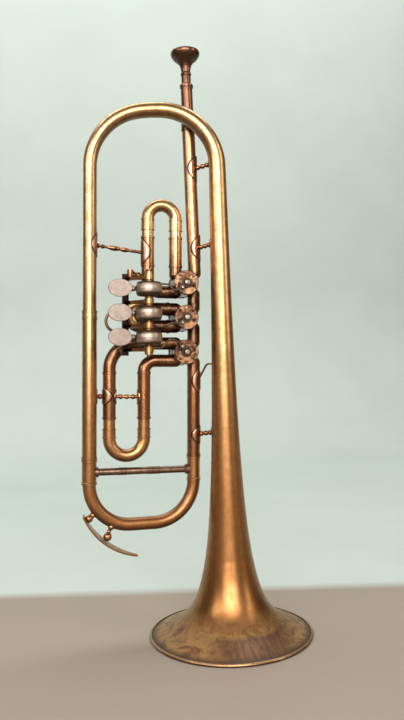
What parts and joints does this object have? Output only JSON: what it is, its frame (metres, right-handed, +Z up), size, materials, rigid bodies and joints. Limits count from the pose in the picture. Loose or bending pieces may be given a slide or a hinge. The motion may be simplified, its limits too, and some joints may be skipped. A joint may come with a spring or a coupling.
{
  "type": "flugelhorn",
  "caption": "Brass flugelhorn with rotary valves worked by spring-drum levers, tuning slides, a mouthpiece and a long flared bell it can stand on.",
  "frame": {"origin": "centre of the bell's rim, on the surface that the instrument stands on", "axes": "+Z up the bell's axis; +X from the valves towards the bell's side; -Y is the side with the levers"},
  "size_m": [0.2099, 0.152, 0.5538],
  "materials": {
    "golden_brass": "aged satin brass, unlacquered, with brown patina",
    "tarnished_brass": "darkly tarnished brass",
    "nickel_silver": "worn nickel silver",
    "cork": "old dark cork",
    "spring_steel": "dark oiled steel"
  },
  "bodies": {
    "body": {"axle": "spring_steel", "bearing_plates": "tarnished_brass", "bell": "golden_brass", "bell_braces": "tarnished_brass", "bottom_cap_1": "tarnished_brass", "bottom_cap_2": "tarnished_brass", "bottom_cap_3": "tarnished_brass", "bow_ferrule": "golden_brass", "cork_rail": "cork", "frame_posts": "tarnished_brass", "leadpipe": "tarnished_brass", "left_receiver": "golden_brass", "lever_frame": "golden_brass", "lever_springs": "spring_steel", "main_knuckles": "tarnished_brass", "mouthpiece_receiver": "tarnished_brass", "right_receiver": "tarnished_brass", "rim_wire": "golden_brass", "slide_1_brace": "tarnished_brass", "slide_1_left_sleeve": "tarnished_brass", "slide_1_right_sleeve": "tarnished_brass", "slide_2_lower_sleeve": "tarnished_brass", "slide_2_upper_sleeve": "tarnished_brass", "slide_3_braces": "tarnished_brass", "slide_3_left_sleeve": "tarnished_brass", "slide_3_right_sleeve": "tarnished_brass", "stop_corks": "cork", "thumb_ring": "tarnished_brass", "top_bow": "golden_brass", "valve_casing_1": "tarnished_brass", "valve_casing_2": "tarnished_brass", "valve_casing_3": "tarnished_brass", "wire_brace": "tarnished_brass"},
    "mouthpiece": {"mouthpiece": "golden_brass"},
    "main_slide": {"main_slide_legs": "nickel_silver", "main_slide_ferrules": "tarnished_brass", "main_bow": "golden_brass", "main_slide_brace": "tarnished_brass", "finger_hook": "tarnished_brass"},
    "slide_1": {"slide_1_legs": "golden_brass", "slide_1_bow": "golden_brass"},
    "rotor_1": {"rotor_1": "tarnished_brass", "stop_arm_1": "tarnished_brass"},
    "lever_1": {"drum_1": "nickel_silver", "paddle_1": "nickel_silver"},
    "link_1": {"s_link_1": "spring_steel"},
    "slide_2": {"slide_2_legs": "golden_brass", "slide_2_bow": "golden_brass"},
    "rotor_2": {"rotor_2": "tarnished_brass", "stop_arm_2": "tarnished_brass"},
    "lever_2": {"drum_2": "nickel_silver", "paddle_2": "nickel_silver"},
    "link_2": {"s_link_2": "spring_steel"},
    "slide_3": {"slide_3_legs": "golden_brass", "slide_3_bow": "golden_brass"},
    "rotor_3": {"rotor_3": "tarnished_brass", "stop_arm_3": "tarnished_brass"},
    "lever_3": {"drum_3": "nickel_silver", "paddle_3": "nickel_silver"},
    "link_3": {"s_link_3": "spring_steel"}
  },
  "joints": [
    {"name": "main_slide_draw", "type": "slide", "parent": "body", "child": "main_slide", "axis": [-0.03, 0.0032, -0.9995], "range_m": [0, 0.055]},
    {"name": "slide_1_draw", "type": "slide", "parent": "body", "child": "slide_1", "axis": [0.03, -0.0032, 0.9995], "range_m": [0, 0.021]},
    {"name": "slide_2_draw", "type": "slide", "parent": "body", "child": "slide_2", "axis": [-0.9995, 0, 0.03], "range_m": [0, 0.018]},
    {"name": "slide_3_draw", "type": "slide", "parent": "body", "child": "slide_3", "axis": [-0.03, 0.0032, -0.9995], "range_m": [0, 0.0035]},
    {"name": "mouthpiece_pull", "type": "slide", "parent": "body", "child": "mouthpiece", "axis": [-0.0148, -0.0032, 0.9999], "range_m": [0, 0.018]},
    {"name": "lever_1_press", "type": "hinge", "parent": "body", "child": "lever_1", "pos_m": [-0.07161, -0.01842, 0.32054], "axis": [-0.03, 0.0032, -0.9995], "range_deg": [0, 30], "stiffness_Nm_per_rad": 0.03, "springref_deg": -45.84},
    {"name": "link_1_swing", "type": "hinge", "parent": "lever_1", "child": "link_1", "pos_m": [-0.0767, 0.00135, 0.32776], "axis": [-0.03, 0.0032, -0.9995], "range_deg": [-30, 0]},
    {"name": "rotor_1_turn", "type": "hinge", "parent": "body", "child": "rotor_1", "pos_m": [-0.03142, 0.01894, 0.32955], "axis": [0, 1, 0.0032], "range_deg": [-90, 0]},
    {"name": "lever_2_press", "type": "hinge", "parent": "body", "child": "lever_2", "pos_m": [-0.07226, -0.01835, 0.29895], "axis": [-0.03, 0.0032, -0.9995], "range_deg": [0, 30], "stiffness_Nm_per_rad": 0.03, "springref_deg": -45.84},
    {"name": "link_2_swing", "type": "hinge", "parent": "lever_2", "child": "link_2", "pos_m": [-0.07777, 0.00147, 0.29217], "axis": [-0.03, 0.0032, -0.9995], "range_deg": [-30, 0]},
    {"name": "rotor_2_turn", "type": "hinge", "parent": "body", "child": "rotor_2", "pos_m": [-0.0324, 0.01905, 0.29697], "axis": [0, 1, 0.0032], "range_deg": [-90, 0]},
    {"name": "lever_3_press", "type": "hinge", "parent": "body", "child": "lever_3", "pos_m": [-0.07291, -0.01828, 0.27736], "axis": [-0.03, 0.0032, -0.9995], "range_deg": [0, 30], "stiffness_Nm_per_rad": 0.03, "springref_deg": -45.84},
    {"name": "link_3_swing", "type": "hinge", "parent": "lever_3", "child": "link_3", "pos_m": [-0.07842, 0.00154, 0.27058], "axis": [-0.03, 0.0032, -0.9995], "range_deg": [-30, 0]},
    {"name": "rotor_3_turn", "type": "hinge", "parent": "body", "child": "rotor_3", "pos_m": [-0.03338, 0.01915, 0.26438], "axis": [0, 1, 0.0032], "range_deg": [0, 90]}
  ],
  "couplings": [
    {"joint": "link_1_swing", "follows": "lever_1_press", "ratio": -1},
    {"joint": "rotor_1_turn", "follows": "lever_1_press", "ratio": -3},
    {"joint": "link_2_swing", "follows": "lever_2_press", "ratio": -1},
    {"joint": "rotor_2_turn", "follows": "lever_2_press", "ratio": -3},
    {"joint": "link_3_swing", "follows": "lever_3_press", "ratio": -1},
    {"joint": "rotor_3_turn", "follows": "lever_3_press", "ratio": 3}
  ]
}
